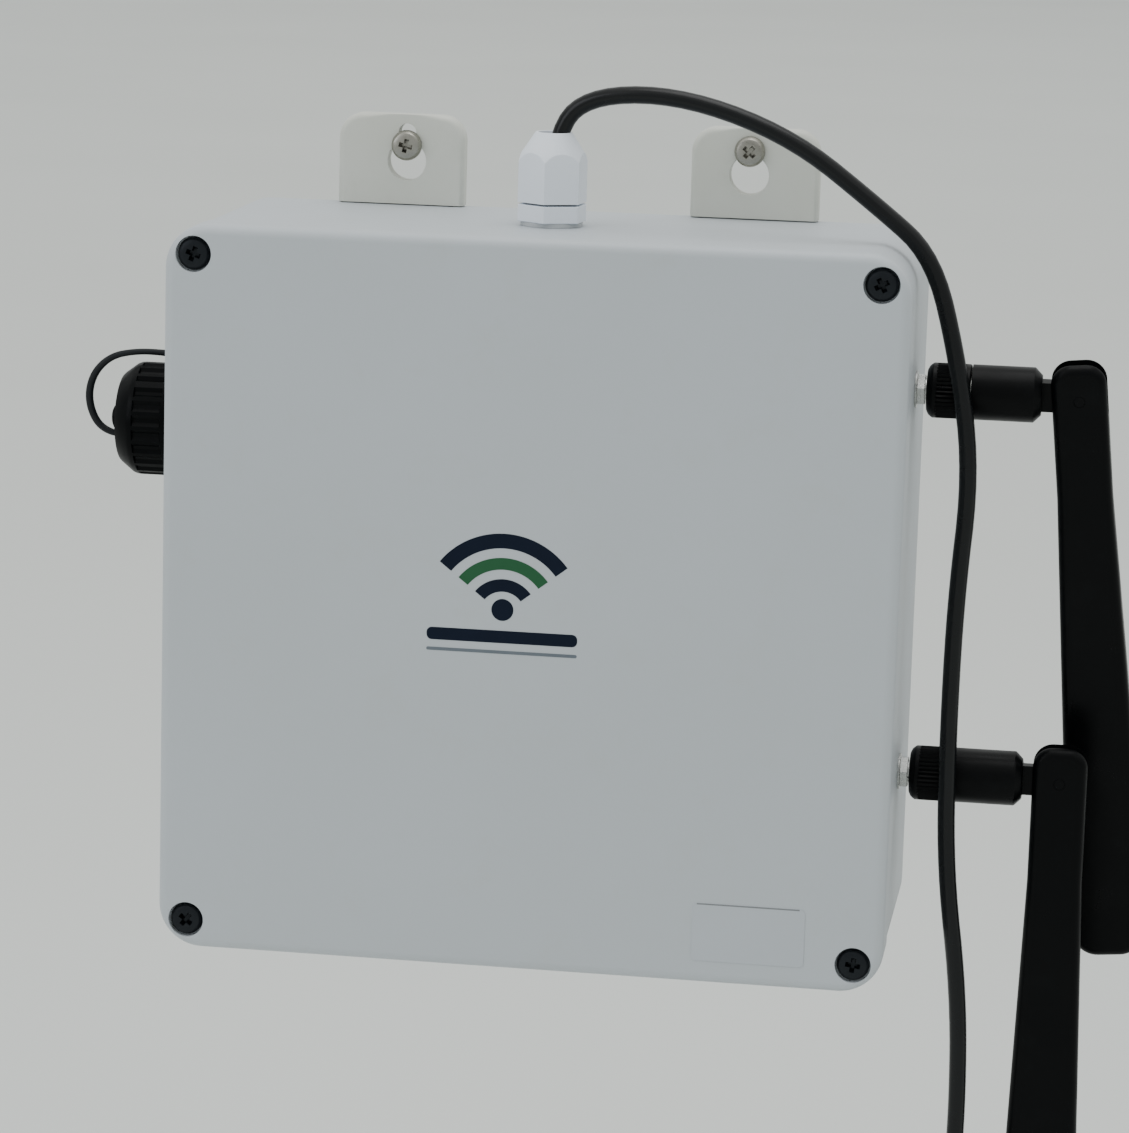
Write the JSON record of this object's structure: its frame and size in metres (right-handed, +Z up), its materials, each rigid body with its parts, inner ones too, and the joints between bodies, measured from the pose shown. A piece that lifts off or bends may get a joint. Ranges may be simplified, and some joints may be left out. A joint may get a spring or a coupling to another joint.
{
  "type": "cellular signal booster",
  "caption": "Square weatherproof wall box with screwed lid, keyhole ears, gland-fed power lead, capped data port and swivelling paddle antennas on one side.",
  "frame": {"origin": "on the wall face, midway between the round parts of the two keyholes", "axes": "+X right and +Z up as seen from the front, +Y into the wall; the lid faces -Y"},
  "size_m": [0.3004, 0.0802, 0.4141],
  "materials": {
    "housing_abs": "satin",
    "seal_rubber": "matte",
    "screw_black": "satin",
    "label_film": "gloss",
    "plate_steel": "brushed",
    "board_green": "satin",
    "brass_plain": "satin",
    "filter_silver": "satin",
    "heatsink_aluminium": "satin",
    "module_black": "satin",
    "terminal_green": "satin",
    "connector_plated": "polished",
    "antenna_black": "satin",
    "cord_pvc": "satin"
  },
  "bodies": {
    "housing": {"amplifier_heatsink": "heatsink_aluminium", "base_shell": "housing_abs", "blank_label": "label_film", "board_screws": "plate_steel", "board_standoffs": "brass_plain", "cap_strap": "module_black", "cord_coil": "cord_pvc", "cord_tail": "cord_pvc", "cord_tie": "cord_pvc", "downlink_shield": "plate_steel", "duplexer_blocks": "filter_silver", "ear_screws": "plate_steel", "gland_body": "housing_abs", "gland_dome_nut": "housing_abs", "gland_locknut": "housing_abs", "gland_seal": "seal_rubber", "gland_washer": "seal_rubber", "inner_lead": "cord_pvc", "left_ear": "housing_abs", "lid_cover": "housing_abs", "lid_gasket": "seal_rubber", "lid_screws": "screw_black", "lower_bulkhead": "connector_plated", "lower_bulkhead_nut": "connector_plated", "lower_bulkhead_seal": "seal_rubber", "lower_bulkhead_washer": "connector_plated", "lower_coax": "cord_pvc", "lower_plug": "connector_plated", "main_board": "board_green", "mounting_plate": "plate_steel", "plate_screws": "plate_steel", "plug_barrel": "connector_plated", "plug_body": "antenna_black", "plug_relief": "antenna_black", "port_gasket": "seal_rubber", "port_insert": "module_black", "port_locknut": "module_black", "port_socket": "module_black", "power_cord": "cord_pvc", "power_module": "module_black", "right_ear": "housing_abs", "terminal_block": "terminal_green", "uplink_shield": "plate_steel", "upper_bulkhead": "connector_plated", "upper_bulkhead_nut": "connector_plated", "upper_bulkhead_seal": "seal_rubber", "upper_bulkhead_washer": "connector_plated", "upper_coax": "cord_pvc", "upper_plug": "connector_plated"},
    "upper_coupler": {"upper_coupler": "antenna_black"},
    "lower_coupler": {"lower_coupler": "antenna_black"},
    "upper_arm": {"upper_sleeve": "antenna_black"},
    "lower_arm": {"lower_sleeve": "antenna_black"},
    "upper_paddle": {"upper_blade": "antenna_black", "upper_hinge_pin": "plate_steel"},
    "lower_paddle": {"lower_blade": "antenna_black", "lower_hinge_pin": "plate_steel"},
    "cap": {"port_cap": "module_black", "cap_seal": "seal_rubber"}
  },
  "joints": [
    {"name": "upper_swivel", "type": "hinge", "parent": "housing", "child": "upper_arm", "pos_m": [0.118, -0.04, -0.0526], "axis": [1, 0, 0], "range_deg": [0, 160]},
    {"name": "upper_fold", "type": "hinge", "parent": "upper_arm", "child": "upper_paddle", "pos_m": [0.1438, -0.04, -0.0526], "axis": [0, -0.9848, -0.1736], "range_deg": [-5.5, 84.5]},
    {"name": "lower_swivel", "type": "hinge", "parent": "housing", "child": "lower_arm", "pos_m": [0.118, -0.04, -0.1591], "axis": [-1, 0, 0], "range_deg": [0, 170]},
    {"name": "lower_fold", "type": "hinge", "parent": "lower_arm", "child": "lower_paddle", "pos_m": [0.1438, -0.04, -0.1591], "axis": [0, -1, 0], "range_deg": [0, 90]},
    {"name": "upper_coupler_turn", "type": "hinge", "parent": "housing", "child": "upper_coupler", "pos_m": [0.108, -0.04, -0.0526], "axis": [1, 0, 0], "continuous": true},
    {"name": "lower_coupler_turn", "type": "hinge", "parent": "housing", "child": "lower_coupler", "pos_m": [0.108, -0.04, -0.1591], "axis": [1, 0, 0], "continuous": true},
    {"name": "cap_turn", "type": "hinge", "parent": "housing", "child": "cap", "pos_m": [-0.112, -0.04, -0.0714], "axis": [-1, 0, 0], "continuous": true}
  ]
}
